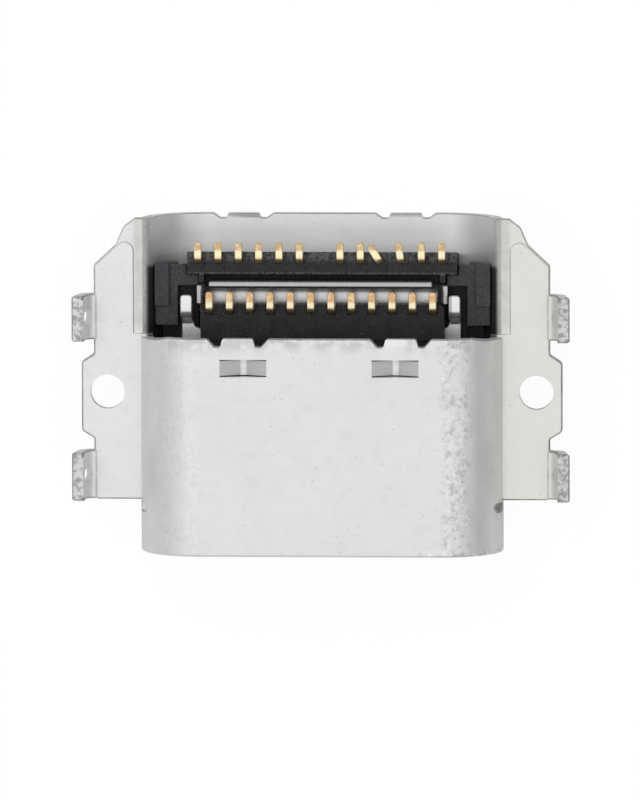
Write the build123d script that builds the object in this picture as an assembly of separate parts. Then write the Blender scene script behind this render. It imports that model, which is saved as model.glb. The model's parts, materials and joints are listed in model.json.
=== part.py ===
from build123d import *
import math
import os

# Charging port connector, in millimetres. The far broad wall of the shell lies on Z = 0, the board
# side faces +Z, the mouth opens towards -Y and the solder tails are at the rear, +Y.
# A value whose name ends in _depth is a distance from the rim of the mouth towards the rear.

# Shell: the oval tube
mouth_width = 8.34
mouth_height = 2.56
sheet = 0.29
shell_length = 8.21
near_wall_depth = 5.37
rim_outer_round = 0.06
rim_inner_round = 0.10
cut_corner_length = 0.07
cut_corner_width = 0.75

# Shell: the side flanges, whose upper face carries the board
board_face = 1.78
roll_radius = 0.45
flange_width = 1.15
flange_front_depth = 1.27
flange_rear_depth = 7.06
shoulder_width = 0.61
shoulder_depth = 7.56
heel_width = 0.42
heel_depth = 8.00
heel_round = 0.16
coin_drop = 0.035
coin_band_width = 0.25
coin_line_offset = 0.045
coin_corner_depth = 7.88
coin_round = 0.21
coin_wall_angle = 40
lobe_margin = 0.22
lobe_front_depth = 2.87
lobe_rear_depth = 4.77
lobe_slant = 0.10
lobe_front_slant = 0.09
lobe_round = 0.14
notch_round = 0.09
flange_hole_diameter = 0.84
flange_hole_offset = 0.815
flange_hole_depth = 3.93
relief_diameter = 0.22
relief_inset = 0.08
relief_gap = 0.15

# Shell: the four solder legs
leg_widths = (1.20, 1.13)
leg_depths = (1.89, 5.785)
leg_root_inset = 0.04
leg_bend_radius = 0.18
leg_length = 0.57
leg_lean = 8.5
leg_corner_round = 0.12
leg_hole_diameter = 0.42
leg_hole_angle = 56
leg_hole_out = 0.215
leg_hole_up = 0.19

# Shell: lanced bridges and lock tabs
bridge_width = 1.15
bridge_length = 0.42
bridge_spacing = 3.73
bridge_depth = 4.65
bridge_drop = 0.27
bridge_flat = 0.16
tab_width = 0.74
tab_spacing = 4.00
tab_lengths = (0.195, 0.12)
tab_drop = 0.04
tab_side_slant = 0.055
tab_notch_width = 0.375
tab_notch_floor = 0.20
tab_notch_round = 0.06

# Tongue housing
housing_clearance = 0.03
tongue_width = 6.69
tongue_thickness = 0.70
tongue_tip_depth = 0.52
tongue_tip_chamfer = 0.14
root_front_depth = 3.82
root_thickness = 1.13
bulkhead_front_depth = 4.375
bulkhead_length = 0.80
wing_top = 1.35
wing_rear_setback = 0.31
mould_draft = 6.5
wing_gap = 0.06
wing_front_shelf = 0.36
wing_front_shelf_top = 0.95
wing_pad_width = 0.36
wing_pad_length = 1.045
wing_pad_height = 0.12
foot_pocket_room = 0.12
foot_pocket_rear_room = 0.20
latch_depth = 1.75
latch_length = 1.30
latch_cut = 0.50

# Terminal blocks
rear_block_top = 1.03
bar_top = 1.57
bar_end_margin = 0.32
bar_gap = 0.18
bar_width = 0.555
bar_post_width = 0.19
bar_post_length = 0.20
bar_seam_width = 0.03
bar_seam_offset = 0.14
front_block_end_margin = 0.25
front_block_length = 0.905
front_block_cover = 0.19
front_block_top = 1.57
front_block_round = 0.14
tail_pocket_width = 0.21
tail_pocket_length = 0.26
frame_rail_width = 0.06
frame_rail_top = 1.42
frame_arm_width = 0.17

# Mid plate
plate_thickness = 0.125
plate_shift = -0.04
plate_floor = 1.05
plate_step_depth = 4.50
plate_step_length = 0.58
plate_tip_setback = 0.12
rear_wall_inset = 0.255
rear_wall_gap = 0.115
rear_wall_top = 1.66
ear_overhang = 0.10
ear_gap = 0.005
ear_length = 0.46
ear_top = 1.56
ear_lean = 0.11
foot_offset = 0.30
foot_width = 0.285
foot_arm_length = 0.57
foot_rise_length = 0.20
foot_length = 0.47
foot_round = 0.08
foot_bend_radius = 0.14
arm_flare = 0.20

# Ground collars round the root of the tongue
collar_thickness = 0.12
collar_skirt = 0.42

# Contacts
contact_count = 12
contact_pitch = 0.50
contact_width = 0.18
tail_end_chamfer = 0.045
contact_thickness = 0.12
contact_bend_radius = 0.13
pad_front_depth = 1.10
long_pad_lead = 0.25
long_pads = (1, 4, 9, 12)
contact_step_depth = 4.52
contact_step_length = 0.56
front_run_height = 1.42
front_tail_length = 0.51
front_row_shift = -0.025
rear_run_height = 0.70
rear_rise_setback = 0.265
rear_tail_length = 0.51
rear_row_shift = -0.05
jog_front_depth = 5.35
jog_length = 0.60
tail_turns = {9: 32, 10: 8}

# Heights and places that follow from them
shell_width = mouth_width + 2 * sheet
shell_height = mouth_height + 2 * sheet
mid_height = shell_height / 2
oval_reach = (mouth_width - mouth_height) / 2
mouth_y = -shell_length / 2
rear_y = shell_length / 2
flange_reach = shell_width / 2 + flange_width
shoulder_reach = shell_width / 2 + shoulder_width
heel_reach = shell_width / 2 + heel_width
leg_root_reach = flange_reach - leg_root_inset
flange_hole_reach = shell_width / 2 + flange_hole_offset
lobe_reach = flange_hole_reach + flange_hole_diameter / 2 + lobe_margin
relief_reach = shell_width / 2 - relief_inset
first_station = -(contact_count - 1) / 2 * contact_pitch
front_block_half_width = -first_station + front_block_end_margin
bar_half_width = contact_count / 2 * contact_pitch + bar_end_margin
wing_inner_reach = front_block_half_width + wing_gap
rear_wall_half_width = front_block_half_width - rear_wall_inset
ear_reach = front_block_half_width + ear_overhang
foot_reach = front_block_half_width + foot_offset
foot_pocket_outer_reach = foot_reach + foot_width / 2 + foot_pocket_room
plate_floor_depth = plate_step_depth + plate_step_length
foot_front_depth = plate_floor_depth + foot_arm_length + foot_rise_length
foot_rear_depth = foot_front_depth + foot_length
foot_pocket_rear_depth = foot_rear_depth + foot_pocket_rear_room
front_block_rear_depth = bulkhead_front_depth + bulkhead_length + front_block_length
front_rise_depth = front_block_rear_depth - front_block_cover
ear_front_depth = front_block_rear_depth + ear_gap
front_tail_rear_depth = front_rise_depth + front_tail_length
rear_wall_depth = front_tail_rear_depth + rear_wall_gap + plate_thickness
bar_front_depth = rear_wall_depth + bar_gap
bar_rear_depth = bar_front_depth + bar_width
rear_rise_depth = bar_rear_depth - rear_rise_setback
rear_tail_rear_depth = rear_rise_depth + rear_tail_length
wing_rear_depth = bar_rear_depth - wing_rear_setback
wing_pad_depth = wing_rear_depth - wing_pad_length


def at(depth):
    """Y of a place that lies this far behind the rim of the mouth."""
    return mouth_y + depth


def along_y(sketch, y_front, y_rear):
    """Prism of an X-Z section between two Y places."""
    return extrude(Plane.XZ.offset(-y_rear) * sketch, y_rear - y_front)


def along_x(sketch, width, x_center=0.0):
    """Prism of a Y-Z section, centred on x_center."""
    return extrude(Plane.YZ.offset(x_center - width / 2) * sketch, width)


def along_z(sketch, z_low, z_high):
    """Prism of an X-Y outline between two heights."""
    return extrude(Plane.XY.offset(z_low) * sketch, z_high - z_low)


def block(x_low, x_high, y_low, y_high, z_low, z_high):
    """Box between three pairs of limits."""
    center = ((x_low + x_high) / 2, (y_low + y_high) / 2, (z_low + z_high) / 2)
    return Pos(*center) * Box(x_high - x_low, y_high - y_low, z_high - z_low)


def both_sides(part):
    """A right-hand part with its mirror image."""
    return part + mirror(part, about=Plane.YZ)


def oval(inset=0.0):
    """Section of the tube, this far inside the outer face of the sheet."""
    height = shell_height - 2 * inset
    return Pos(0, mid_height) * SlotOverall(shell_width - 2 * inset, height)


def polygon(points, radii=None):
    """Closed face through the points, with a corner radius for each."""
    if radii is None:
        return make_face(Polyline(*points, close=True))
    return make_face(FilletPolyline(*points, radius=radii, close=True))


def strip(points, radius, thickness, sharp=0):
    """Side view of a bent strip along its centre line; the first bends, sharp of them, are mitred."""
    half = thickness / 2
    left, right, left_radii, right_radii = [], [], [], []
    for index, point in enumerate(points):
        here = Vector(*point)
        ahead = Vector(*points[index + 1]) - here if index + 1 < len(points) else None
        behind = here - Vector(*points[index - 1]) if index else None
        run_in = (behind or ahead).normalized()
        run_out = (ahead or behind).normalized()
        normal = (run_in + run_out).normalized().rotate(Axis.Z, 90)
        reach = half / normal.dot(run_out.rotate(Axis.Z, 90))
        left.append(here + normal * reach)
        right.append(here - normal * reach)
        turn = run_in.cross(run_out).Z
        straight = behind is None or ahead is None or abs(turn) < 1e-6
        bend = 0 if straight or index <= sharp else radius
        side = math.copysign(half, turn) if bend else 0
        left_radii.append(bend - side)
        right_radii.append(bend + side)
    return polygon(left + right[::-1], left_radii + right_radii[::-1])


def rolled_section():
    """Section of the open rear: far wall, both sides, and the roll out into the flanges."""
    roll_z = board_face - roll_radius
    drop = mid_height - roll_z
    span = mouth_height / 2 + roll_radius
    roll_x = oval_reach + math.sqrt(span**2 - drop**2)
    slope = math.degrees(math.atan2(-drop, roll_x - oval_reach))
    oval_center = (oval_reach, mid_height)
    roll_center = (roll_x, roll_z)
    edges = []
    for gap in (0.0, sheet):
        big = mouth_height / 2 + gap
        small = roll_radius - gap
        edges.append(Line((0, mid_height - big), (oval_reach, mid_height - big)))
        edges.append(CenterArc(oval_center, big, -90, 90 + slope))
        edges.append(CenterArc(roll_center, small, 180 + slope, -(90 + slope)))
    edges.append(Line((0, 0), (0, sheet)))
    edges.append(Line((roll_x, board_face), (roll_x, board_face - sheet)))
    half = make_face(edges)
    return roll_x, half + mirror(half, about=Plane.YZ)


def flange_outline(inner_reach, y_front, y_rear):
    """Plan of the right flange, from inner_reach out to its lobe and slanted rear corner."""
    leg_fronts = [at(depth - width / 2) for depth, width in zip(leg_depths, leg_widths)]
    leg_rears = [at(depth + width / 2) for depth, width in zip(leg_depths, leg_widths)]
    corners = [
        (inner_reach, at(flange_front_depth), 0),
        (leg_root_reach, at(flange_front_depth), 0),
        (leg_root_reach, leg_rears[0], 0),
        (flange_reach, leg_rears[0], 0),
        (flange_reach, at(lobe_front_depth) - lobe_front_slant, notch_round),
        (lobe_reach, at(lobe_front_depth) + lobe_front_slant, lobe_round),
        (lobe_reach, at(lobe_rear_depth) - lobe_slant, lobe_round),
        (flange_reach, at(lobe_rear_depth) + lobe_slant, notch_round),
        (flange_reach, leg_fronts[1], 0),
        (leg_root_reach, leg_fronts[1], 0),
        (leg_root_reach, leg_rears[1], 0),
        (flange_reach, leg_rears[1], 0),
        (flange_reach, at(flange_rear_depth), lobe_round),
        (shoulder_reach, at(shoulder_depth), heel_round),
        (heel_reach, at(heel_depth), heel_round),
        (inner_reach, rear_y, 0),
    ]
    outline = polygon([(x, y) for x, y, _ in corners], [r for _, _, r in corners])
    window = Rectangle(lobe_reach, y_rear - y_front, align=(Align.MIN, Align.MIN))
    return outline & (Pos(inner_reach, y_front) * window)


def make_leg(depth, leg_width):
    """Right solder leg, folded up from the flange and leaning outwards, with its solder hole."""
    fold = 90 - leg_lean
    center = (leg_root_reach, board_face + leg_bend_radius)
    rise = Vector(leg_length, 0).rotate(Axis.Z, fold)
    overlap = sheet / 2
    edges = []
    tips = []
    for radius in (leg_bend_radius, leg_bend_radius + sheet):
        bottom = board_face + leg_bend_radius - radius
        arc = CenterArc(center, radius, -90, fold)
        tip = arc @ 1 + rise
        edges.append(Line((leg_root_reach - overlap, bottom), (leg_root_reach, bottom)))
        edges.append(arc)
        edges.append(Line(arc @ 1, tip))
        tips.append(tip)
    edges.append(Line(tips[0], tips[1]))
    root = leg_root_reach - overlap
    edges.append(Line((root, board_face), (root, board_face - sheet)))
    y_mid = at(depth)
    leg = along_y(make_face(edges), y_mid - leg_width / 2, y_mid + leg_width / 2)
    top = max(tip.Y for tip in tips)
    face_height = 2 * (top - board_face + sheet)
    outline = RectangleRounded(leg_width, face_height, leg_corner_round)
    outline = Pos(y_mid, top - face_height / 2) * outline
    leg = leg & along_x(outline, 2 * sheet + 2 * leg_length, leg_root_reach)
    drill = Cylinder(leg_hole_diameter / 2, 4 * sheet, rotation=(0, 90 + leg_hole_angle, 0))
    return leg - Pos(leg_root_reach + leg_hole_out, y_mid, board_face + leg_hole_up) * drill


def coined_outline(roll_x, grow):
    """Plan of the coined band; the flat beside it is larger by grow on that side."""
    front = at(near_wall_depth)
    inner = roll_x - coin_band_width
    line_x = roll_x + coin_line_offset - grow
    slant = (at(shoulder_depth) - at(flange_rear_depth)) / (flange_reach - shoulder_reach)
    corner_y = at(coin_corner_depth) + grow * (math.hypot(1, slant) + slant)
    outside = flange_reach + sheet
    outline = [
        (inner, front),
        (line_x, front),
        (line_x, corner_y),
        (outside, corner_y - slant * (outside - line_x)),
        (outside, rear_y + sheet),
        (inner, rear_y + sheet),
    ]
    return polygon(outline, [0, 0, coin_round + grow, 0, 0, 0])


def coined_band(roll_x):
    """What the press takes off the flange along the roll and round its rear corner."""
    grow = coin_drop * math.tan(math.radians(coin_wall_angle))
    upper = Plane.XY.offset(board_face + coin_drop) * coined_outline(roll_x, -grow)
    lower = Plane.XY.offset(board_face - coin_drop) * coined_outline(roll_x, grow)
    return loft([upper, lower], ruled=True)


def tab_cut(edge_y, side, x_center, tab_length):
    """Two notches beside a lock tab, cut into the rear edge of one broad wall."""
    notches = []
    for hand in (-1, 1):
        inner = tab_width / 2
        outline = [
            (hand * inner, edge_y + tab_length),
            (hand * inner, edge_y),
            (hand * (inner + tab_side_slant), edge_y - tab_length),
            (hand * (inner + tab_notch_floor), edge_y - tab_length),
            (hand * (inner + tab_notch_width), edge_y),
            (hand * (inner + tab_notch_width), edge_y + tab_length),
        ]
        radii = [0, 0, tab_notch_round, tab_notch_round, 0, 0]
        notches.append(Pos(x_center, 0) * polygon(outline, radii))
    z_wall = 0 if side < 0 else shell_height - sheet
    return [along_z(notch, z_wall - sheet / 2, z_wall + 1.5 * sheet) for notch in notches]


def bent_tab(edge_y, side, x_center, tab_length):
    """End of a lock tab, bent into the tube behind the housing."""
    outer = mid_height
    inner = mid_height - sheet
    root = edge_y - tab_length
    outline = [
        (root - sheet / 4, outer),
        (root, outer),
        (edge_y, outer - tab_drop),
        (edge_y, inner - tab_drop),
        (root, inner),
        (root - sheet / 4, inner),
    ]
    section = polygon([(y, mid_height + side * height) for y, height in outline])
    half = tab_width / 2
    root_half = half + tab_side_slant
    plan = [(-root_half, root - sheet), (root_half, root - sheet), (root_half, root), (half, edge_y)]
    plan += [(-half, edge_y), (-root_half, root)]
    plan = Pos(x_center, 0) * polygon(plan)
    return along_x(section, 2 * root_half, x_center) & along_z(plan, 0, shell_height)


def make_shell():
    """Folded sheet shell: tube, flanges, legs, bridges, tabs and notches."""
    near_wall_y = at(near_wall_depth)
    tube = along_y(oval(), mouth_y, near_wall_y) - along_y(oval(sheet), mouth_y, near_wall_y)
    rim = tube.faces().sort_by(Axis.Y)[0]
    tube = fillet(rim.outer_wire().edges(), rim_outer_round)
    rim = tube.faces().filter_by(Axis.Y).sort_by(Axis.Y)[0]
    tube = fillet(rim.inner_wires()[0].edges(), rim_inner_round)
    roll_x, section = rolled_section()
    rear = along_y(section, near_wall_y, rear_y)
    flange_floor = board_face - sheet
    inside_sheet = shell_width / 2 - sheet / 2
    front_flange = flange_outline(inside_sheet, at(flange_front_depth), near_wall_y)
    rear_flange = flange_outline(roll_x, near_wall_y, rear_y)
    flange = along_z(front_flange, flange_floor, board_face)
    flange += along_z(rear_flange, flange_floor, board_face)
    hole = Pos(flange_hole_reach, at(flange_hole_depth)) * Circle(flange_hole_diameter / 2)
    flange -= along_z(hole, flange_floor - sheet, board_face + sheet)
    for depth, width in zip(leg_depths, leg_widths):
        flange += make_leg(depth, width)
    shell = tube + rear + both_sides(flange)

    corner_start = shell_width / 2 - cut_corner_width
    corner_end = shell_width / 2 + sheet / 2
    corner = [
        (corner_start, near_wall_y),
        (corner_start + cut_corner_width / 2, near_wall_y - cut_corner_length),
        (corner_end, near_wall_y - cut_corner_length),
        (corner_end, near_wall_y),
    ]
    shell -= both_sides(along_z(polygon(corner), board_face, shell_height))
    shell -= both_sides(coined_band(roll_x))

    relief_y = at(flange_front_depth) - relief_gap
    relief = Pos(relief_reach, relief_y) * Circle(relief_diameter / 2)
    shell -= both_sides(along_z(relief, board_face, shell_height))

    wall_inner = shell_height - sheet
    bridge_y = at(bridge_depth)
    for hand in (-1, 1):
        x_center = hand * bridge_spacing / 2
        half = bridge_width / 2
        y_front = bridge_y - bridge_length / 2
        y_rear = bridge_y + bridge_length / 2
        x_low = x_center - half
        x_high = x_center + half
        shell -= block(x_low, x_high, y_front, y_rear, wall_inner - sheet, shell_height + sheet)
        low = shell_height - bridge_drop
        valley = bridge_flat / 2
        upper = [(-half, shell_height), (-valley, low), (valley, low), (half, shell_height)]
        vee = upper + [(x, z - sheet) for x, z in reversed(upper)]
        slit = sheet / 10
        shell += along_y(Pos(x_center, 0) * polygon(vee), y_front + slit, y_rear - slit)

    for edge_y, side, tab_length in ((near_wall_y, 1, tab_lengths[0]), (rear_y, -1, tab_lengths[1])):
        for hand in (-1, 1):
            x_center = hand * tab_spacing / 2
            for notch in tab_cut(edge_y, side, x_center, tab_length):
                shell -= notch
            wall = mid_height + side * (mid_height - sheet / 2)
            shell -= block(
                x_center - tab_width / 2 - tab_side_slant,
                x_center + tab_width / 2 + tab_side_slant,
                edge_y - tab_length,
                edge_y + tab_length,
                wall - sheet,
                wall + sheet,
            )
            shell += bent_tab(edge_y, side, x_center, tab_length)
    return shell


def contact_stations():
    """Pad place, counted from -X, for each contact of a row of twelve."""
    return [first_station + index * contact_pitch for index in range(contact_count)]


def tail_place(x_place):
    """X of the tail of the rear-row contact whose pad is at x_place."""
    return x_place + math.copysign(contact_pitch / 2, x_place) + rear_row_shift


def pad_front(index):
    """Y of a pad's front end; the pads that mate first reach further forward."""
    lead = long_pad_lead if index + 1 in long_pads else 0
    return at(pad_front_depth - lead)


def tail_plan(x_tail, rear_depth):
    """Plan of a contact whose solder tail ends with clipped corners."""
    half = contact_width / 2
    end = at(rear_depth)
    shoulder = [(half, end - tail_end_chamfer), (half - tail_end_chamfer, end)]
    outline = [(half, mouth_y), *shoulder]
    outline += [(-x, y) for x, y in reversed(outline)]
    return along_z(Pos(x_tail, 0) * polygon(outline), 0, shell_height)


def make_front_contact(index, x_place):
    """Near-side contact: pad, step down through the bulkhead, run, rise and flat tail."""
    pad_z = mid_height + tongue_thickness / 2 - contact_thickness / 2
    tail_z = board_face - contact_thickness / 2
    line = [
        (pad_front(index), pad_z),
        (at(contact_step_depth), pad_z),
        (at(contact_step_depth + contact_step_length), front_run_height),
        (at(front_rise_depth - contact_thickness / 2), front_run_height),
        (at(front_rise_depth + contact_thickness / 2), tail_z),
        (at(front_tail_rear_depth), tail_z),
    ]
    section = strip(line, contact_bend_radius, contact_thickness, sharp=3)
    x_tail = x_place + front_row_shift
    return along_x(section, contact_width, x_tail) & tail_plan(x_tail, front_tail_rear_depth)


def make_rear_contact(index, x_place):
    """Far-side contact: pad, step, sideways jog, rise behind the bar and flat tail."""
    pad_z = mid_height - tongue_thickness / 2 + contact_thickness / 2
    tail_z = board_face - contact_thickness / 2
    x_tail = tail_place(x_place)
    jog_y = at(jog_front_depth)
    pad_line = [
        (pad_front(index), pad_z),
        (at(contact_step_depth), pad_z),
        (at(contact_step_depth + contact_step_length), rear_run_height),
        (jog_y, rear_run_height),
    ]
    tail_line = [
        (jog_y + jog_length, rear_run_height),
        (at(rear_rise_depth - contact_thickness / 2), rear_run_height),
        (at(rear_rise_depth + contact_thickness / 2), tail_z),
        (at(rear_tail_rear_depth), tail_z),
    ]
    half = contact_width / 2
    jog = [
        (x_place - half, jog_y),
        (x_place + half, jog_y),
        (x_tail + half, jog_y + jog_length),
        (x_tail - half, jog_y + jog_length),
    ]
    low = rear_run_height - contact_thickness / 2
    high = rear_run_height + contact_thickness / 2
    pad = along_x(strip(pad_line, contact_bend_radius, contact_thickness, sharp=2), contact_width, x_place)
    tail = along_x(strip(tail_line, contact_bend_radius, contact_thickness, sharp=1), contact_width, x_tail)
    tail &= tail_plan(x_tail, rear_tail_rear_depth)
    turn = tail_turns.get(index + 1, 0)
    if turn:
        stem = (x_tail, at(rear_rise_depth), 0)
        knee = bar_top - contact_thickness / 2
        span = shell_length
        upper = tail & block(-span, span, -span, span, knee, shell_height)
        lower = tail & block(-span, span, -span, span, 0, knee)
        tail = lower + Pos(*stem) * Rot(0, 0, turn) * Pos(-stem[0], -stem[1], 0) * upper
    return pad + along_z(polygon(jog), low, high) + tail


def latch_notches():
    """Room for the plug's latches at both sides of the tongue."""
    half = tongue_width / 2
    y_front = at(latch_depth)
    y_rear = y_front + latch_length
    return both_sides(block(half - latch_cut, half + sheet, y_front, y_rear, 0, shell_height))


def make_mid_plate():
    """Sheet between the two rows: tongue blade, step, rear wall, ears and two solder feet."""
    blade_z = mid_height
    low_z = plate_floor + plate_thickness / 2
    step_y = at(plate_step_depth)
    low_y = at(plate_step_depth + plate_step_length)
    wall_y = at(rear_wall_depth) - plate_thickness / 2
    bend = plate_thickness
    tip_y = at(tongue_tip_depth + plate_tip_setback)
    blade = [(tip_y, blade_z), (step_y, blade_z), (low_y, low_z), (low_y + bend, low_z)]
    plate = along_x(strip(blade, bend, plate_thickness, sharp=2), tongue_width)
    floor_line = [(low_y + bend, low_z), (wall_y, low_z), (wall_y, rear_wall_top)]
    plate += along_x(strip(floor_line, bend, plate_thickness), 2 * rear_wall_half_width)
    plate = Pos(plate_shift, 0) * plate - latch_notches()

    ear_front = at(ear_front_depth)
    ear_line = [
        (rear_wall_half_width - bend, low_z),
        (ear_reach - plate_thickness / 2 - ear_lean, low_z),
        (ear_reach - plate_thickness / 2, ear_top),
    ]
    ear = along_y(strip(ear_line, bend, plate_thickness), ear_front, ear_front + ear_length)

    foot_top = board_face - plate_thickness / 2
    foot_rear = at(foot_rear_depth)
    foot_front = foot_rear - foot_length
    foot_line = [
        (low_y, low_z),
        (foot_front - foot_rise_length, low_z),
        (foot_front, foot_top),
        (foot_rear, foot_top),
    ]
    foot = along_x(strip(foot_line, foot_bend_radius, plate_thickness), foot_width, foot_reach)
    foot_plan = RectangleRounded(foot_width, 2 * shell_length, foot_round)
    foot &= along_z(Pos(foot_reach, foot_rear - shell_length) * foot_plan, 0, shell_height)
    arm_inner = foot_reach - foot_width / 2
    arm_rear = foot_front - foot_rise_length
    flare = [
        (arm_inner + foot_width / 2, low_y),
        (arm_inner - arm_flare, low_y),
        (arm_inner - arm_flare, arm_rear - arm_flare),
        (arm_inner, arm_rear - arm_flare),
        (arm_inner, arm_rear),
        (arm_inner + foot_width / 2, arm_rear),
    ]
    arm = polygon(flare, [0, 0, 0, 0.9 * arm_flare, 0, 0])
    foot += along_z(arm, plate_floor, plate_floor + plate_thickness)
    return plate + both_sides(ear) + Pos(plate_shift, 0) * both_sides(foot)


def make_collar(side):
    """Ground collar on one face of the tongue's root, with a skirt down each flank."""
    inner = root_thickness / 2
    outer = inner + collar_thickness
    half = tongue_width / 2
    corner = collar_thickness
    outline = [
        (-half - collar_thickness, outer - collar_skirt),
        (-half - collar_thickness, outer),
        (half + collar_thickness, outer),
        (half + collar_thickness, outer - collar_skirt),
        (half, outer - collar_skirt),
        (half, inner),
        (-half, inner),
        (-half, outer - collar_skirt),
    ]
    points = [(x, mid_height + side * height) for x, height in outline]
    radii = [0, corner, corner, 0, 0, 0, 0, 0]
    return along_y(polygon(points, radii), at(root_front_depth), at(bulkhead_front_depth))


def drafted(y_front, y_rear, z_low, z_high):
    """Y-Z section whose rear face leans in towards the foot, as the mould's draft leaves it."""
    foot = y_rear - (z_high - z_low) * math.tan(math.radians(mould_draft))
    return polygon([(y_front, z_low), (foot, z_low), (y_rear, z_high), (y_front, z_high)])


def make_rear_block(stations):
    """Insert moulding of the rear row: a low slab and the bar that the tails leave."""
    front_y = at(bulkhead_front_depth + bulkhead_length)
    floor = sheet + housing_clearance
    side = wing_inner_reach - housing_clearance
    slab = block(-side, side, front_y, at(bar_front_depth), floor, rear_block_top)
    bar = along_x(drafted(at(bar_front_depth), at(bar_rear_depth), floor, bar_top), 2 * bar_half_width)
    post_front = at(bar_front_depth) - bar_post_length
    post = block(
        ear_reach - bar_post_width,
        ear_reach,
        post_front,
        at(bar_front_depth),
        rear_block_top,
        bar_top,
    )
    side_cut = block(side, bar_half_width, post_front, at(bar_front_depth), floor, bar_top)
    moulding = slab + bar + both_sides(post - side_cut)
    for x_place in stations:
        seam = tail_place(x_place) + bar_seam_offset
        moulding -= block(
            seam,
            seam + bar_seam_width,
            at(bar_front_depth),
            at(bar_rear_depth),
            bar_top - bar_seam_width,
            bar_top,
        )
    return moulding & along_y(oval(sheet + housing_clearance), front_y, rear_y)


def make_front_block(stations):
    """Insert moulding of the front row, with an open pocket round each tail."""
    front_y = at(bulkhead_front_depth + bulkhead_length)
    rear = at(front_block_rear_depth)
    floor = plate_floor + plate_thickness
    half_width = front_block_half_width
    outline = [(-half_width, front_y), (half_width, front_y), (half_width, rear), (-half_width, rear)]
    plan = polygon(outline, [0, 0, front_block_round, front_block_round])
    moulding = along_z(plan, floor, front_block_top)
    half = tail_pocket_width / 2
    pocket_y = rear - tail_pocket_length
    for x_place in stations:
        low = x_place + front_row_shift - half
        moulding -= block(low, low + tail_pocket_width, pocket_y, rear, floor, front_block_top)
    wall_front = at(rear_wall_depth) - plate_thickness
    rail_front = wall_front - frame_rail_width
    moulding += block(-half_width, half_width, rail_front, wall_front, floor, frame_rail_top)
    arm_start = rear - front_block_round
    arm_inner = half_width - frame_arm_width
    moulding += both_sides(block(arm_inner, half_width, arm_start, wall_front, floor, frame_rail_top))
    return moulding


def make_tongue_housing():
    """Black moulding: tongue, root, bulkhead and the two wings beside the terminal blocks."""
    bulkhead_front = at(bulkhead_front_depth)
    bulkhead_rear = bulkhead_front + bulkhead_length
    root_front = at(root_front_depth)
    half = tongue_width / 2
    tip = at(tongue_tip_depth)
    blade = [
        (tip, mid_height - tongue_thickness / 2),
        (tip, mid_height + tongue_thickness / 2),
        (root_front, mid_height + tongue_thickness / 2),
        (root_front, mid_height - tongue_thickness / 2),
    ]
    tongue = along_x(polygon(blade), tongue_width)
    tongue = chamfer(tongue.edges().filter_by_position(Axis.Y, tip, tip), tongue_tip_chamfer)
    tongue -= latch_notches()
    root_low = mid_height - root_thickness / 2
    root_high = mid_height + root_thickness / 2
    root = block(-half, half, root_front, bulkhead_front, root_low, root_high)
    filling = oval(sheet + housing_clearance)
    bulkhead = along_y(filling, bulkhead_front, bulkhead_rear)
    wing_rear = at(wing_rear_depth)
    wings = along_y(filling, bulkhead_rear, wing_rear)
    wings &= along_x(drafted(bulkhead_rear, wing_rear, sheet, wing_top + wing_pad_height), shell_width)
    wings -= block(-shell_width, shell_width, bulkhead_rear, wing_rear, wing_top, shell_height)
    wings -= block(-wing_inner_reach, wing_inner_reach, bulkhead_rear, wing_rear, 0, shell_height)
    bar_room = bar_half_width + housing_clearance
    bar_start = at(bar_front_depth) - housing_clearance
    wings -= block(-bar_room, bar_room, bar_start, wing_rear, 0, shell_height)

    shelf = block(
        foot_pocket_outer_reach,
        shell_width,
        bulkhead_rear,
        bulkhead_rear + wing_front_shelf,
        wing_front_shelf_top,
        shell_height,
    )
    pocket = block(
        wing_inner_reach,
        foot_pocket_outer_reach,
        bulkhead_rear,
        at(foot_pocket_rear_depth),
        plate_floor,
        shell_height,
    )
    wings -= both_sides(shelf + pocket)
    edge = shell_width / 2 - sheet - housing_clearance
    pad_top = wing_top + wing_pad_height
    pad = block(edge - wing_pad_width, edge, at(wing_pad_depth), wing_rear, wing_top, pad_top)
    pad &= along_y(filling, bulkhead_rear, wing_rear)
    housing = tongue + root + bulkhead + wings + both_sides(pad)

    room = housing_clearance
    for hand in (-1, 1):
        x_center = hand * bridge_spacing / 2
        housing -= block(
            x_center - bridge_width / 2 - room,
            x_center + bridge_width / 2 + room,
            at(bridge_depth) - bridge_length / 2 - room,
            at(bridge_depth) + bridge_length / 2 + room,
            shell_height - sheet - bridge_drop - 2 * room,
            shell_height,
        )
    return housing


stations = contact_stations()
front_contacts = [make_front_contact(index, x) for index, x in enumerate(stations)]
rear_contacts = [make_rear_contact(index, x) for index, x in enumerate(stations)]
mid_plate = make_mid_plate()
inserts = front_contacts + rear_contacts + [mid_plate]

nodes = {
    "shell": make_shell(),
    "tongue_housing": make_tongue_housing() - inserts,
    "front_terminal_block": make_front_block(stations) - inserts,
    "rear_terminal_block": make_rear_block(stations) - inserts,
    "mid_plate": mid_plate,
    "near_ground_collar": make_collar(1),
    "far_ground_collar": make_collar(-1),
}
for index in range(contact_count):
    nodes[f"front_contact_{index + 1:02d}"] = front_contacts[index]
    nodes[f"rear_contact_{index + 1:02d}"] = rear_contacts[index]

os.makedirs("parts", exist_ok=True)
for name, shape in nodes.items():
    export_step(shape, f"parts/{name}.step")
    print(name, round(shape.volume, 4), len(shape.solids()))
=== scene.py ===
import json
import math
import bmesh
import bpy
import numpy
from mathutils import Matrix, Vector


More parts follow.
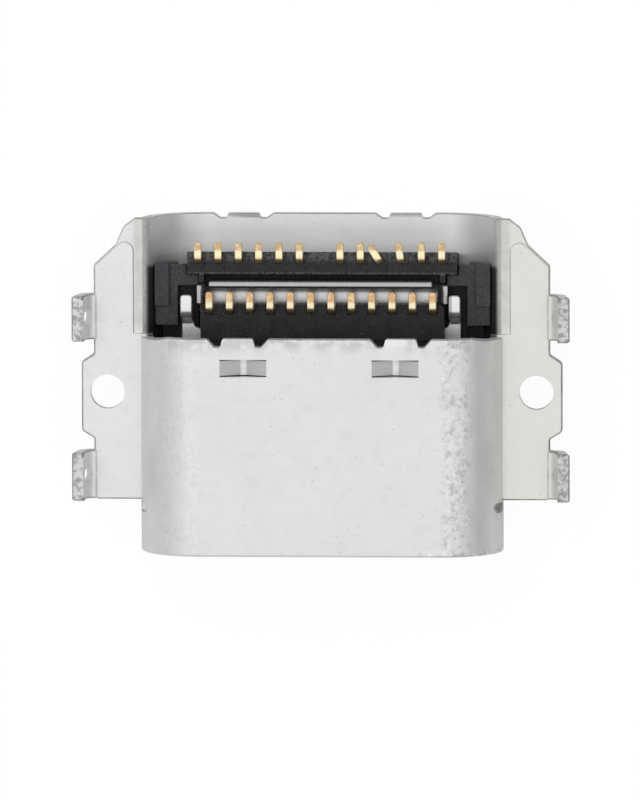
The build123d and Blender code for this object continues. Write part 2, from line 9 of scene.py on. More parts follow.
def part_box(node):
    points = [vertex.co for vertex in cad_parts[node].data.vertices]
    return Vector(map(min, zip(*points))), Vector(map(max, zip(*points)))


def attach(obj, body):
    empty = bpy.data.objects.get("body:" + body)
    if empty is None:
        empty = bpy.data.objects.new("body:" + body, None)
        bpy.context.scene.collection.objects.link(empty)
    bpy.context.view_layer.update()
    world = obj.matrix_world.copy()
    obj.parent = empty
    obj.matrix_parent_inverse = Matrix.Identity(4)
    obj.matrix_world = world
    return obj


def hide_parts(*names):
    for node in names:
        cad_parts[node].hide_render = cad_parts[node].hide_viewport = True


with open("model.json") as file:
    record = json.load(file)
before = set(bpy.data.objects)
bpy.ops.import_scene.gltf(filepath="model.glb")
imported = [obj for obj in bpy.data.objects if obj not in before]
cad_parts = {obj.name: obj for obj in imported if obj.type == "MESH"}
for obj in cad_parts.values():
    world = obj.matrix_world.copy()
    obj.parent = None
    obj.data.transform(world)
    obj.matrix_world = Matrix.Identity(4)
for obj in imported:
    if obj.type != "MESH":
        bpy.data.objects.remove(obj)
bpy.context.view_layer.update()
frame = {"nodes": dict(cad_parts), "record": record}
mm = 0.001
noiseSpan = (0.3, 0.7)
print("frame loaded:", len(frame["nodes"]), "nodes")


class Wire:
    # one value in a material's node tree, so that shader maths reads as plain sums
    def __init__(self, tree, socket):
        self.tree = tree
        self.socket = socket

    def maths(self, operation, other=None, flipped=False):
        node = self.tree.nodes.new("ShaderNodeMath")
        node.operation = operation
        own, others = (1, 0) if flipped else (0, 1)
        feed(self.tree, self, node.inputs[own])
        feed(self.tree, other, node.inputs[others])
        return Wire(self.tree, node.outputs[0])

    def __add__(self, other):
        return self.maths("ADD", other)

    def __radd__(self, other):
        return self.maths("ADD", other)

    def __sub__(self, other):
        return self.maths("SUBTRACT", other)

    def __rsub__(self, other):
        return self.maths("SUBTRACT", other, flipped=True)

    def __mul__(self, other):
        return self.maths("MULTIPLY", other)

    def __lt__(self, other):
        return self.maths("LESS_THAN", other)

    def __gt__(self, other):
        return self.maths("GREATER_THAN", other)

    def __abs__(self):
        return self.maths("ABSOLUTE")

    def power(self, exponent):
        return self.maths("POWER", exponent)

    def largest(self, other):
        return self.maths("MAXIMUM", other)

    def smallest(self, other):
        return self.maths("MINIMUM", other)


def feed(tree, value, socket):
    # puts a value on a socket: a link for a wire, the socket's own value for a constant
    if isinstance(value, Wire):
        tree.links.new(value.socket, socket)
    elif value is not None:
        socket.default_value = value


class Graph:
    # a node tree under construction
    def __init__(self, tree):
        self.tree = tree
        self.tree.nodes.clear()

    def node(self, kind, settings=None, values=None):
        made = self.tree.nodes.new(kind)
        for name, setting in (settings or {}).items():
            setattr(made, name, setting)
        for name, value in (values or {}).items():
            feed(self.tree, value, made.inputs[name])
        return lambda output=0: Wire(self.tree, made.outputs[output])


class Finish(Graph):
    # a material under construction: its shader's sockets and the place of each point in millimetres
    def __init__(self, name):
        self.material = bpy.data.materials.new(name)
        self.material.use_nodes = True
        super().__init__(self.material.node_tree)
        coordinates = self.node("ShaderNodeTexCoord")
        self.place = self.node(
            "ShaderNodeVectorMath", {"operation": "SCALE"}, {0: coordinates("Object"), "Scale": 1 / mm}
        )()
        self.x, self.y, self.z = self.axes(self.place)
        geometry = self.node("ShaderNodeNewGeometry")
        self.facing = self.axes(geometry("True Normal"))
        self.edge = self.node("ShaderNodeAttribute", {"attribute_name": "edge"})("Fac")

    def axes(self, wire):
        split = self.node("ShaderNodeSeparateXYZ", values={0: wire})
        return split(0), split(1), split(2)

    def noise(self, scale, detail, roughness=0.55):
        values = {"Vector": self.place, "Scale": scale, "Detail": detail, "Roughness": roughness}
        return self.node("ShaderNodeTexNoise", values=values)(0)

    def spots(self, scale):
        return self.node("ShaderNodeTexVoronoi", values={"Vector": self.place, "Scale": scale})("Distance")

    def ramp(self, value, low, high, start=0.0, end=1.0):
        values = {"Value": value, "From Min": low, "From Max": high, "To Min": start, "To Max": end}
        return self.node("ShaderNodeMapRange", {"interpolation_type": "SMOOTHSTEP"}, values)()

    def within(self, value, low, high, soft):
        # 1 between two limits, falling to 0 over a soft margin outside them
        return self.ramp(value, low - soft, low) * self.ramp(value, high + soft, high)

    def mix(self, amount, first, second):
        colours = [colour if isinstance(colour, Wire) else (*colour, 1) for colour in (first, second)]
        values = {0: amount, 6: colours[0], 7: colours[1]}
        return self.node("ShaderNodeMix", {"data_type": "RGBA"}, values)(2)

    def bump(self, height, strength, depth):
        values = {"Height": height, "Strength": strength, "Distance": depth * mm}
        return self.node("ShaderNodeBump", values=values)()

    def finish(self, wish, colour, noise, height, **others):
        values = {
            "Base Color": colour,
            "Metallic": wish["metallic"],
            "Roughness": self.ramp(noise, *noiseSpan, *wish["roughness"]),
            "Normal": self.bump(height, *wish["bump"]),
            **others,
        }
        shader = self.node("ShaderNodeBsdfPrincipled", values=values)
        self.node("ShaderNodeOutputMaterial", values={0: shader()})
        return self.material


def grey(value, warm=0.0):
    # a screen value from 0 to 255 as the linear colour that shows as it, warmed or cooled a little
    screen = value / 255
    linear = ((screen + 0.055) / 1.055) ** 2.4
    return (linear * (1 + warm), linear, linear * (1 - warm))


shellFinish = {
    "base": grey(231, 0.004),
    "dull": grey(216, 0.010),
    "cream": (0.76, 0.76, 0.69),
    "pit": grey(172, 0.02),
    "crumpleAndShade": grey(184, 0.012),
    "crest": grey(246),
    "edge": grey(160, 0.012),
    "slope": grey(196, 0.008),
    "lit": (0.97, 0.97, 0.97),
    "shadow": grey(26),
    "reliefFloor": grey(96),
    "legTop": (grey(158), grey(216)),
    "metallic": 0.50,
    "roughness": (0.35, 0.50),
    "bump": (0.5, 0.02),
    "relief": {"fine": 0.12, "grain": 0.25, "drawn": 2.2, "pits": 0.5},
    "noises": {
        "grain": (20.0, 3.0),
        "fine": (34.0, 2.0),
        "cloud": (0.8, 3.0),
        "mottle": (3.0, 4.0),
        "peel": (7.5, 4.0, 0.68),
    },
    "facingOut": 0.2,
    "clouds": {"cloud": (0.30, 0.75), "mottle": (0.45, 0.75), "grain": (0.52, 0.80)},
    "cloudShares": {"cloud": 0.25, "mottle": 0.30, "grain": 0.45},
    "warmSide": (4.2, 4.8),
    "warmShares": (0.55, 0.4),
    "pits": {
        "spots": 5.5, "size": (0.14, 0.07), "where": (1.3, 2.0), "some": (0.46, 0.62), "share": 0.55,
    },
    "nearFloor": 2.20,
    "rightBand": (3.10, 3.50, 0.24),
    "leftBand": (-3.80, -3.15, 0.30),
    "leftShare": 0.3,
    "sway": {"noise": (1.7, 3.0), "width": 0.5},
    "uneven": {"noise": (1.5, 2.0), "span": (0.36, 0.58, 0.30, 1.0)},
    "burr": {"y": (-3.92, -4.02), "x": (1.5, 3.2), "share": 0.8},
    "hollows": {"span": (0.50, 0.62), "share": 0.7},
    "crests": {"span": (0.44, 0.34), "share": 0.9},
    "rollStart": 1.30,
    "rollLight": (4.38, 4.60, 0.03),
    "rollRoughAndShade": {"x": (4.24, 4.40, 0.04), "drawn": 0.8, "share": 0.45},
    "rollStrip": {"x": (4.46, 4.56, 0.14), "y": (1.20, 1.70), "share": 0.55},
    "seatTop": 1.80,
    "patchMask": (0.30, 0.65, 0.55, 1.0),
    "rearEdgeDarkening": {"y": (0.80, 1.22), "floor": 2.90, "some": (0.40, 0.60), "share": 0.6},
    "reliefHole": {"x": 4.37, "y": -2.97, "radius": 0.12, "share": 0.8},
    "litSpan": (3.72, 3.22),
    "litRise": (1.60, 0.30),
    "bridge": {
        "x": 1.865, "slope": (0.075, 0.56, 0.02), "y": (0.33, 0.76, 0.01), "floor": 2.60, "share": 0.8,
    },
    "inside": {"x": (4.36, 4.25), "foot": 3.60, "facing": -0.1},
    "corner": {"x": (3.45, 4.10), "y": (3.90, 3.00), "share": 0.6},
    "gap": {"y": (3.00, 2.84), "front": 1.00, "share": 0.93},
    "fold": {"x": (5.545, 5.575, 0.02), "faint": (0.25, 0.60, 0.25, 0.60)},
    "legSpans": ((-2.80, -1.63, 0.02), (1.13, 2.23, 0.02)),
    "leg": {"x": (5.76, 5.80), "floor": 2.10, "noise": (9.0, 3.0), "patches": (0.36, 0.62)},
}


class ShellFinish(Finish):
    # matte nickel on the folded sheet, with what forming and use leave at each place, painted shade where
    # the narrow gaps and hollows lie in shade and a painted highlight where the sheet lights up
    def __init__(self, wish):
        super().__init__("shellNickel")
        self.wish = wish
        noises = {name: self.noise(*values) for name, values in wish["noises"].items()}
        self.grain, self.fine, self.cloud, self.mottle, self.peel = noises.values()
        self.side = abs(self.x)
        self.outside = self.facing[2] > wish["facingOut"]
        self.rear = self.y > wish["rollStart"]
        self.patchMask = self.ramp(self.mottle, *wish["patchMask"])
        self.rollRoughAndShade = self.within(self.side, *wish["rollRoughAndShade"]["x"]) * self.rear
        self.drawn = self.drawnBends(wish["sway"], wish["uneven"], wish["burr"])
        self.pits = self.pitting(wish["pits"])
        leg = wish["leg"]
        self.legTop = self.ramp(self.side, *leg["x"]) * (self.z > leg["floor"]) * self.outside

    def drawnBends(self, sway, uneven, burr):
        # where drawing has roughened the sheet: the two bends of the near wall, the rolls and the rim
        across = self.x + (self.noise(*sway["noise"]) - 0.5) * sway["width"]
        near = self.z > self.wish["nearFloor"]
        right = self.within(across, *self.wish["rightBand"]) * near
        left = self.within(across, *self.wish["leftBand"]) * near * self.wish["leftShare"]
        rim = self.ramp(self.y, *burr["y"]) * self.ramp(self.x, *burr["x"]) * burr["share"]
        patchy = self.ramp(self.noise(*uneven["noise"]), *uneven["span"])
        rolls = self.rollRoughAndShade * self.wish["rollRoughAndShade"]["drawn"]
        return ((right + left) * patchy + rolls + rim).smallest(1.0)

    def pitting(self, pits):
        some = self.ramp(self.noise(*pits["where"]), *pits["some"])
        return self.ramp(self.spots(pits["spots"]), *pits["size"]) * some

    def plating(self):
        # the sheet's own colour: clouded, warmer on the right flange and at the rolls
        wish, shares = self.wish, self.wish["cloudShares"]
        clouded = self.ramp(self.cloud, *wish["clouds"]["cloud"]) * shares["cloud"]
        clouded = clouded + self.ramp(self.mottle, *wish["clouds"]["mottle"]) * shares["mottle"]
        colour = self.mix(clouded, wish["base"], wish["dull"])
        grained = self.ramp(self.grain, *wish["clouds"]["grain"]) * shares["grain"]
        colour = self.mix(grained, colour, wish["dull"])
        rollLight = self.within(self.side, *wish["rollLight"]) * self.rear
        right, roll = wish["warmShares"]
        warm = self.ramp(self.x, *wish["warmSide"]) * right + rollLight * roll
        return self.mix(warm.smallest(1.0), colour, wish["cream"])

    def forming(self, colour):
        # pits, orange peel on the drawn bends with painted shade in its hollows and painted highlights on
        # its crests, the rough steep rolls darkened also as painted shade, a soft painted shade strip along
        # the rolls and darker patches at the near edge
        wish = self.wish
        colour = self.mix(self.pits * wish["pits"]["share"], colour, wish["pit"])
        # painted shade in the orange peel's hollows and a painted highlight on its crests
        for kind, shade in (("hollows", "crumpleAndShade"), ("crests", "crest")):
            amount = self.drawn * self.ramp(self.peel, *wish[kind]["span"]) * wish[kind]["share"]
            colour = self.mix(amount, colour, wish[shade])
        # painted shade: a soft darker strip in mottled patches along the roll beside the pressed step, and
        # the rough steep part of the roll darkened both for its roughness and as painted shade
        strip = wish["rollStrip"]
        stripShade = self.within(self.side, *strip["x"]) * self.ramp(self.y, *strip["y"])
        stripShade = stripShade * (self.z < wish["seatTop"]) * self.patchMask * strip["share"]
        rolls = self.rollRoughAndShade * wish["rollRoughAndShade"]["share"] + stripShade
        colour = self.mix(rolls.smallest(1.0), colour, wish["crumpleAndShade"])
        # darker in mottled patches toward the near wall's rear edge
        rearEdgeDarkening = wish["rearEdgeDarkening"]
        amount = self.ramp(self.y, *rearEdgeDarkening["y"]) * (self.z > rearEdgeDarkening["floor"])
        amount = amount * self.ramp(self.mottle, *rearEdgeDarkening["some"]) * rearEdgeDarkening["share"]
        return self.mix(amount, colour, wish["crumpleAndShade"])

    def lightAndShade(self, colour):
        # the sheet lights up before the open rear, and darkens in the relief hole, at the slopes of the
        # bridges, in the tube's inner corners and in the narrow gaps beside the wings
        wish = self.wish
        hole = wish["reliefHole"]
        ahead, aside = self.y - hole["y"], self.x - hole["x"]
        sunk = (ahead * ahead + aside * aside < hole["radius"] ** 2) * self.outside
        colour = self.mix(sunk * hole["share"], colour, wish["reliefFloor"])
        lit = self.ramp(self.y, *wish["litSpan"]) * self.ramp(self.z, *wish["litRise"]) * self.outside
        colour = self.mix(lit, colour, wish["lit"])
        bridge = wish["bridge"]
        slopes = self.within(abs(self.side - bridge["x"]), *bridge["slope"])
        slopes = slopes * self.within(self.y, *bridge["y"])
        slopes = slopes * (self.z > bridge["floor"]) * self.outside
        colour = self.mix(slopes * bridge["share"], colour, wish["slope"])
        inside, corner, gap = wish["inside"], wish["corner"], wish["gap"]
        inner = (self.z < wish["seatTop"]) * (self.facing[2] > inside["facing"])
        inner = inner * (self.side > inside["foot"]) * self.ramp(self.side, *inside["x"])
        deepShade = self.ramp(self.side, *corner["x"]) * self.ramp(self.y, *corner["y"])
        colour = self.mix(deepShade * inner * corner["share"], colour, wish["edge"])
        beside = self.ramp(self.y, *gap["y"]) * (self.y > gap["front"])
        return self.mix(beside * inner * gap["share"], colour, wish["shadow"])

    def foldsAndEdges(self, colour):
        # faint lines where the legs fold up, patchy sheared leg tops and dulled broken edges
        wish, fold, leg = self.wish, self.wish["fold"], self.wish["leg"]
        front, rear = (self.within(self.y, *span) for span in wish["legSpans"])
        line = self.within(self.side, *fold["x"]) * self.outside * (front + rear)
        colour = self.mix(line * self.ramp(self.mottle, *fold["faint"]), colour, wish["edge"])
        patches = self.mix(self.ramp(self.noise(*leg["noise"]), *leg["patches"]), *wish["legTop"])
        colour = self.mix(self.legTop, colour, patches)
        return self.mix(self.edge * self.patchMask, colour, wish["edge"])

    def make(self):
        relief = self.wish["relief"]
        height = self.fine * relief["fine"] + self.grain * relief["grain"]
        height = height + self.peel * self.drawn * relief["drawn"]
        height = height - self.pits * relief["pits"] + self.peel * self.legTop
        colour = self.foldsAndEdges(self.lightAndShade(self.forming(self.plating())))
        return self.finish(self.wish, colour, self.grain, height)


steelFinish = {
    "base": grey(232),
    "dull": grey(220, 0.005),
    "edge": grey(190),
    "well": (grey(170), grey(214), grey(76)),
    "crest": grey(176),
    "noise": (9.0, 3.0),
    "clouds": (0.45, 0.80),
    "shares": {"dull": 0.3, "well": 0.95, "crest": 0.9, "edge": 0.6},
    "facingUp": (0.3, 0.8),
    "crestReach": 3.20,
    "wellTop": 1.30,
    "wellReach": 2.92,
    "wellSpan": (1.93, 2.17),
    "wellFoot": (2.19, 2.285),
    "metallic": 0.8,
    "roughness": (0.26, 0.31),
    "bump": (0.015, 0.02),
}


def makeSteelFinish(wish):
    # bright plate, greyer on its upturned crests and shaded on the floor between the two rows
    look = Finish("innerSteel")
    shares = wish["shares"]
    fine = look.noise(*wish["noise"])
    colour = look.mix(look.ramp(fine, *wish["clouds"]) * shares["dull"], wish["base"], wish["dull"])
    front, middle, foot = wish["well"]
    floor = look.mix(look.ramp(look.y, *wish["wellSpan"]), front, middle)
    floor = look.mix(look.ramp(look.y, *wish["wellFoot"]), floor, foot)
    well = (look.z < wish["wellTop"]) * (abs(look.x) < wish["wellReach"])
    colour = look.mix(well * shares["well"], colour, floor)
    crest = (look.z > wish["wellTop"]) * (abs(look.x) < wish["crestReach"])
    crest = crest * look.ramp(look.facing[2], *wish["facingUp"])
    colour = look.mix(crest * shares["crest"], colour, wish["crest"])
    colour = look.mix(look.edge * shares["edge"], colour, wish["edge"])
    return look.finish(wish, colour, fine, fine)


goldFinish = {
    "front": {
        "tan": (0.66, 0.41, 0.21), "cream": (0.96, 0.85, 0.58), "turn": (0.21, 0.30), "root": (0.41, 0.48),
    },
    "rear": {
        "tan": (0.58, 0.41, 0.21), "cream": (0.96, 0.86, 0.58), "turn": (0.15, 0.24), "root": (0.37, 0.44),
    },
    "rim": (0.84, 0.66, 0.38),
    "root": (0.42, 0.28, 0.10),
    "pit": (0.36, 0.22, 0.09),
    "fine": (14.0, 3.0),
    "blotch": {"noise": (11.0, 2.0), "span": (0.46, 0.66)},
    "pits": {"spots": 16.0, "size": (0.12, 0.05)},
    "sway": 0.10,
    "shares": {"blotch": 0.45, "pits": 0.5, "rim": 0.8, "root": 0.85},
    "metallic": 0.85,
    "roughness": (0.21, 0.38),
    "bump": (0.2, 0.015),
}


def makeGoldFinish(wish, row):
    # a blotched tan foot, a bright rise that is a painted highlight on the bend and a dark root that is
    # painted shade where the tail goes down into its pocket, told apart by the distance from the tail's
    # end; the lighter rims are a painted highlight too
    look = Finish(row + "ContactGold")
    own, shares = wish[row], wish["shares"]
    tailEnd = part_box(row + "_contact_02")[1][1] / mm
    along = tailEnd - look.y
    fine = look.noise(*wish["fine"])
    blotch = look.ramp(look.noise(*wish["blotch"]["noise"]), *wish["blotch"]["span"])
    turn = look.ramp(along + (fine - 0.5) * wish["sway"], *own["turn"])
    foot = look.mix(blotch * shares["blotch"], own["tan"], own["cream"])
    # painted highlight: the rise turns bright cream
    colour = look.mix(turn, foot, own["cream"])
    pits = look.ramp(look.spots(wish["pits"]["spots"]), *wish["pits"]["size"]) * (1 - turn)
    colour = look.mix(pits * shares["pits"], colour, wish["pit"])
    # painted highlight: lighter rims on the broken edges
    colour = look.mix(look.edge * shares["rim"], colour, wish["rim"])
    # painted shade: a dark root where the tail goes down into its pocket
    colour = look.mix(look.ramp(along, *own["root"]) * shares["root"], colour, wish["root"])
    return look.finish(wish, colour, fine, fine)


plasticFinish = {
    "base": (0.0215, 0.0205, 0.0245),
    "dark": (0.0125, 0.0120, 0.0148),
    "deepShade": (0.0030, 0.0030, 0.0036),
    "wing": (0.056, 0.054, 0.061),
    "fleck": grey(160, -0.02),
    "edge": grey(100, -0.03),
    "barHighlight": grey(96, -0.02),
    "cloud": {"noise": (4.0, 4.0), "span": (0.35, 0.70)},
    "fine": (24.0, 3.0),
    "deepSpan": (1.52, 1.42),
    "wings": {
        "reach": 3.04, "z": (1.22, 1.49, 0.02), "facing": 0.3,
        "noise": (14.0, 3.0), "span": (0.35, 0.62, 0.55, 1.0),
    },
    "edges": {"span": (0.40, 0.60), "share": 0.7},
    "bar": {"floor": 1.50, "rear": (2.98, 3.12), "front": (2.70, 2.755, 0.015), "shares": (0.75, 0.6)},
    "highlightNoise": {"noise": (12.0, 3.0), "span": (0.36, 0.56)},
    "flecks": {
        "spots": 10.0, "size": (0.16, 0.07), "where": (2.4, 2.0), "some": (0.40, 0.58), "share": 0.5,
    },
    "metallic": 0.0,
    "roughness": (0.40, 0.58),
    "bump": (0.35, 0.02),
    "shine": 0.28,
}


def makePlasticFinish(wish):
    # satin black, with painted shade that darkens it lower down in the pockets, paler on the wings, with
    # painted highlights along the bar's rear edge and front lip and on the broken edges, and flecked with
    # glass
    look = Finish("blackPlastic")
    cloud = look.noise(*wish["cloud"]["noise"])
    fine = look.noise(*wish["fine"])
    colour = look.mix(look.ramp(cloud, *wish["cloud"]["span"]), wish["base"], wish["dark"])
    # painted shade: darker lower down, in the pockets
    colour = look.mix(look.ramp(look.z, *wish["deepSpan"]), colour, wish["deepShade"])
    wings = wish["wings"]
    wing = (abs(look.x) > wings["reach"]) * look.within(look.z, *wings["z"])
    wing = wing * (look.facing[2] > wings["facing"])
    wing = wing * look.ramp(look.noise(*wings["noise"]), *wings["span"])
    colour = look.mix(wing, colour, wish["wing"])
    # painted highlight: the broken edges are lighter grey
    edges = wish["edges"]
    colour = look.mix(look.edge * look.ramp(fine, *edges["span"]) * edges["share"], colour, wish["edge"])
    # painted highlight along the bar's rear edge and front lip, broken up by noise
    bar, highlightNoise = wish["bar"], wish["highlightNoise"]
    rear, front = bar["shares"]
    patchMask = look.ramp(look.y, *bar["rear"]) * rear + look.within(look.y, *bar["front"]) * front
    patchMask = patchMask * (look.z > bar["floor"]) * look.ramp(look.noise(*highlightNoise["noise"]), *highlightNoise["span"])
    colour = look.mix(patchMask.smallest(1.0), colour, wish["barHighlight"])
    flecks = wish["flecks"]
    amount = look.ramp(look.spots(flecks["spots"]), *flecks["size"])
    amount = amount * look.ramp(look.noise(*flecks["where"]), *flecks["some"]) * flecks["share"]
    colour = look.mix(amount, colour, wish["fleck"])
    return look.finish(wish, colour, fine, fine + cloud, **{"Specular IOR Level": wish["shine"]})


finishes = {
    "shell_steel": ShellFinish(shellFinish).make(),
    "inner_steel": makeSteelFinish(steelFinish),
    "black_plastic": makePlasticFinish(plasticFinish),
    "front": makeGoldFinish(goldFinish, "front"),
    "rear": makeGoldFinish(goldFinish, "rear"),
}


def finishOf(node, slot):
    return finishes[slot] if slot in finishes else finishes[node.split("_")[0]]


for part in frame["record"]["subparts"]:
    solid = frame["nodes"][part["node"]]
    solid.data.materials.clear()
    solid.data.materials.append(finishOf(part["node"], part["material_slot"]))


edging = {
    "flat": math.radians(1.0),
    "sharp": math.radians(40),
    "crease": math.radians(24),
    "weld": 0.0004,
    "outlineReach": 4.66,
    "outlineRear": 2.85,
    "attempts": 9,
    "widths": {
        "shell_steel": (0.038, 0.020),
        "inner_steel": (0.020,),
        "black_plastic": (0.018,),
        "contact_gold": (0.013,),
    },
    "upright": 0.5,
    "holeRoom": 0.5,
    "strayRoom": 2.5,
    "legHoles": {"reach": 5.62, "top": 2.20, "rows": (-2.215, 1.68), "room": 0.26},
    "slits": {"reach": 2.6, "floor": 2.7, "front": 0.25, "rear": 0.85},
}


def besideHole(place, wish):
    # whether a point, in millimetres, is on the edge of a flange hole, a lanced slit or a leg's solder hole
    for mount in frame["record"]["mounts"]:
        if mount["kind"] == "bore":
            away = math.hypot(place.x - mount["pos_m"][0] / mm, place.y - mount["pos_m"][1] / mm)
            if away < wish["holeRoom"]:
                return True
    slits, holes = wish["slits"], wish["legHoles"]
    inSpan = slits["front"] < place.y < slits["rear"]
    if inSpan and abs(place.x) < slits["reach"] and place.z > slits["floor"]:
        return True
    inRow = any(abs(place.y - row) < holes["room"] for row in holes["rows"])
    return inRow and abs(place.x) > holes["reach"] and place.z < holes["top"]


def pressedIn(edge, wish):
    # whether an edge only belongs to the shallow step that the press leaves in the flange
    return all(face.normal.z > wish["upright"] for face in edge.link_faces)


def centreOf(edge):
    return (edge.verts[0].co + edge.verts[1].co) / 2 / mm


def nameOf(edge):
    # the rounded middle of an edge, which is the same in every copy of its shape
    return centreOf(edge).to_tuple(4)


def wanted(edge, slot, turn, wish):
    # whether this turn breaks the edge: where there are two widths, the first is for the outline
    if len(edge.link_faces) != 2 or not edge.is_convex or edge.calc_face_angle() < wish["sharp"]:
        return False
    middle = centreOf(edge)
    if slot == "shell_steel" and (besideHole(middle, wish) or pressedIn(edge, wish)):
        return False
    outline = abs(middle.x) > wish["outlineReach"] and middle.y < wish["outlineRear"]
    return len(wish["widths"][slot]) == 1 or outline == (turn == 0)


def nearestBroken(corner, starts, spans):
    # which broken edge a corner is nearest to, and how far off it is
    place = numpy.array(corner.co)
    along = ((place - starts) * spans).sum(1) / (spans ** 2).sum(1)
    away = numpy.linalg.norm(starts + along.clip(0, 1)[:, None] * spans - place, axis=1)
    return int(away.argmin()), away.min()


def breakEdges(shape, slot, turn, wish):
    # bevels the wanted edges, without those whose bevel would run off across a neighbouring face
    width = wish["widths"][slot][turn]
    room = wish["strayRoom"] * width * mm
    left = set()
    for _ in range(wish["attempts"]):
        trial = shape.copy()
        chosen = [edge for edge in trial.edges if wanted(edge, slot, turn, wish)]
        chosen = [edge for edge in chosen if nameOf(edge) not in left]
        if not chosen:
            return trial
        names = [nameOf(edge) for edge in chosen]
        starts = numpy.array([edge.verts[0].co for edge in chosen])
        spans = numpy.array([edge.verts[1].co - edge.verts[0].co for edge in chosen])
        broken = bmesh.ops.bevel(
            trial, geom=chosen, offset=width * mm, offset_type="OFFSET", segments=1, profile=0.5,
            affect="EDGES", clamp_overlap=False, loop_slide=False,
        )
        strays = [corner for corner in broken["verts"] if nearestBroken(corner, starts, spans)[1] > room]
        if not strays:
            mark = trial.faces.layers.float["edge"]
            for face in broken["faces"]:
                face[mark] = 1.0
            return trial
        for corner in strays:
            for near in [corner] + [edge.other_vert(corner) for edge in corner.link_edges]:
                left.add(names[nearestBroken(near, starts, spans)[0]])
        trial.free()
    print("edges left sharp by", round(width, 3))
    return shape


def makeEdgedCopy(node, slot, wish):
    # a copy of a solid whose sharp outer edges are broken, as pressing and moulding leave them
    source = frame["nodes"][node]
    shape = bmesh.new()
    shape.from_mesh(source.data)
    bmesh.ops.remove_doubles(shape, verts=shape.verts, dist=wish["weld"] * mm)
    bmesh.ops.dissolve_limit(shape, angle_limit=wish["flat"], verts=shape.verts, edges=shape.edges)
    shape.faces.layers.float.new("edge")
    for turn in range(len(wish["widths"][slot])):
        shape = breakEdges(shape, slot, turn, wish)
    for face in shape.faces:
        face.smooth = True
    for edge in shape.edges:
        edge.smooth = len(edge.link_faces) != 2 or edge.calc_face_angle() < wish["crease"]
    mesh = bpy.data.meshes.new(node + "_edged")
    shape.to_mesh(mesh)
    shape.free()
    mesh.materials.append(finishOf(node, slot))
    copy = bpy.data.objects.new(node + "_edged", mesh)
    bpy.context.collection.objects.link(copy)
    evened = copy.modifiers.new("evened", "WEIGHTED_NORMAL")
    evened.keep_sharp = True
    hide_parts(node)
    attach(copy, "root")


edged = [part for part in frame["record"]["subparts"] if "collar" not in part["node"]]
for part in edged:
    makeEdgedCopy(part["node"], part["material_slot"], edging)
print("edges broken on", len(edged), "pieces")


studio = {
    "floorHalf": 60.0,
    "floorWhite": 1.04,
    "paper": 0.86,
    "shadowShare": 0.10,
    "zenith": 1.08,
    "horizon": 0.34,
    "sideways": 0.18,
    "below": 0.50,
    "lookAt": (-0.057, -0.389, 1.58),
    "direction": (0.052, 0.108, 1.0),
    "distance": 350.0,
    "frameWidth": 15.74,
    "sensor": 36.0,
    "clip": (10.0, 2000.0),
    "roll": -0.0022,
}


def makeFloor(wish):
    half = wish["floorHalf"] * mm
    mesh = bpy.data.meshes.new("floor")
    corners = [(-half, -half, 0), (half, -half, 0), (half, half, 0), (-half, half, 0)]
    mesh.from_pydata(corners, [], [(0, 1, 2, 3)])
    floor = bpy.data.objects.new("floor", mesh)
    bpy.context.collection.objects.link(floor)
    material = bpy.data.materials.new("floorPaper")
    material.use_nodes = True
    look = Graph(material.node_tree)
    paper = look.node("ShaderNodeBsdfDiffuse", values={0: (wish["paper"],) * 3 + (1,)})
    glow = look.node("ShaderNodeEmission", values={0: (wish["floorWhite"],) * 3 + (1,)})
    path = look.node("ShaderNodeLightPath")
    seen = path("Is Camera Ray").largest(path("Is Transmission Ray")) * (1 - wish["shadowShare"])
    blend = look.node("ShaderNodeMixShader", values={0: seen, 1: paper(), 2: glow()})
    look.node("ShaderNodeOutputMaterial", values={0: blend()})
    mesh.materials.append(material)


def makeLamp(name, place, size, power):
    lamp = bpy.data.lights.new(name, "AREA")
    lamp.shape = "RECTANGLE"
    lamp.size, lamp.size_y = size[0] * mm, size[1] * mm
    lamp.energy = power
    holder = bpy.data.objects.new(name, lamp)
    holder.location = Vector(place) * mm
    holder.rotation_euler = (-Vector(place)).to_track_quat("-Z", "Y").to_euler()
    bpy.context.collection.objects.link(holder)


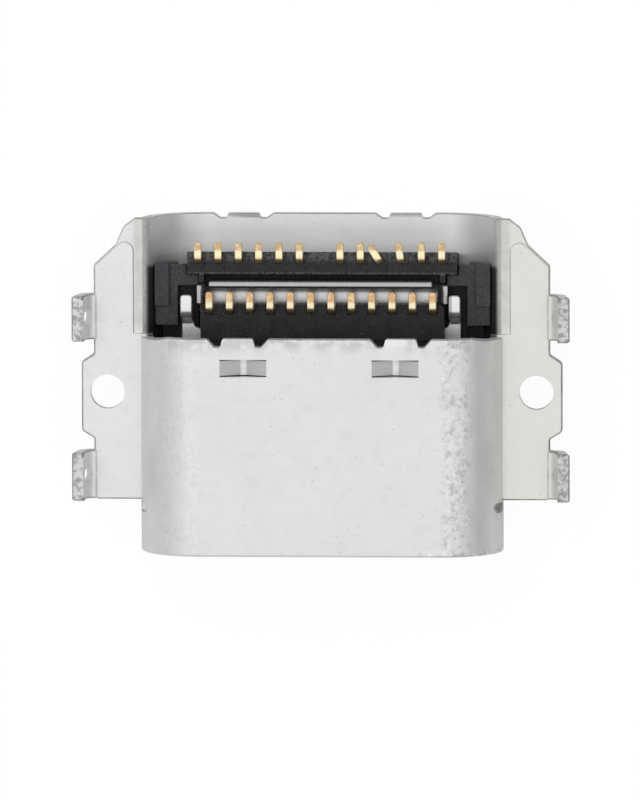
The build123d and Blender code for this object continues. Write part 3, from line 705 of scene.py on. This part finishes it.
lamps = {
    "keySoftbox": ((-30, 30, 75), (70, 50), 0.010),
    "fillSoftbox": ((45, -25, 60), (60, 50), 0.004),
}


def makeCamera(wish):
    camera = bpy.data.cameras.new("camera")
    camera.sensor_fit = "HORIZONTAL"
    camera.sensor_width = wish["sensor"]
    camera.lens = wish["sensor"] * wish["distance"] / wish["frameWidth"]
    camera.clip_start, camera.clip_end = (limit * mm for limit in wish["clip"])
    holder = bpy.data.objects.new("camera", camera)
    target = Vector(wish["lookAt"])
    back = Vector(wish["direction"]).normalized()
    side = Vector((0, 1, 0)).cross(back).normalized()
    up = back.cross(side)
    turned = side + up * wish["roll"]
    side, up = turned.normalized(), back.cross(turned.normalized())
    rows = [(side[i], up[i], back[i], (target[i] + back[i] * wish["distance"]) * mm) for i in range(3)]
    holder.matrix_world = Matrix((*rows, (0, 0, 0, 1)))
    bpy.context.collection.objects.link(holder)
    bpy.context.scene.camera = holder


def makeWorld(wish):
    # soft light that is strongest from above and a little stronger from the left, as in a white tent
    world = bpy.data.worlds.new("studio")
    world.use_nodes = True
    look = Graph(world.node_tree)
    coordinates = look.node("ShaderNodeTexCoord")
    split = look.node("ShaderNodeSeparateXYZ", values={0: coordinates("Generated")})
    up = split(2).largest(0.0).power(2.0)
    down = (split(2) * -1).largest(0.0)
    level = wish["horizon"]
    strength = level + up * (wish["zenith"] - level) + down * (wish["below"] - level)
    strength = strength - split(0) * wish["sideways"] * (1 - up)
    sky = look.node("ShaderNodeBackground", values={0: (1, 1, 1, 1), 1: strength})
    backdrop = look.node("ShaderNodeBackground", values={0: (1, 1, 1, 1), 1: wish["floorWhite"]})
    seen = look.node("ShaderNodeLightPath")("Is Camera Ray")
    blend = look.node("ShaderNodeMixShader", values={0: seen, 1: sky(), 2: backdrop()})
    look.node("ShaderNodeOutputWorld", values={0: blend()})
    bpy.context.scene.world = world


makeWorld(studio)
bpy.context.scene.view_settings.view_transform = "Standard"
makeFloor(studio)
for name, (place, size, power) in lamps.items():
    makeLamp(name, place, size, power)
makeCamera(studio)
print("floor, lamps and camera set")
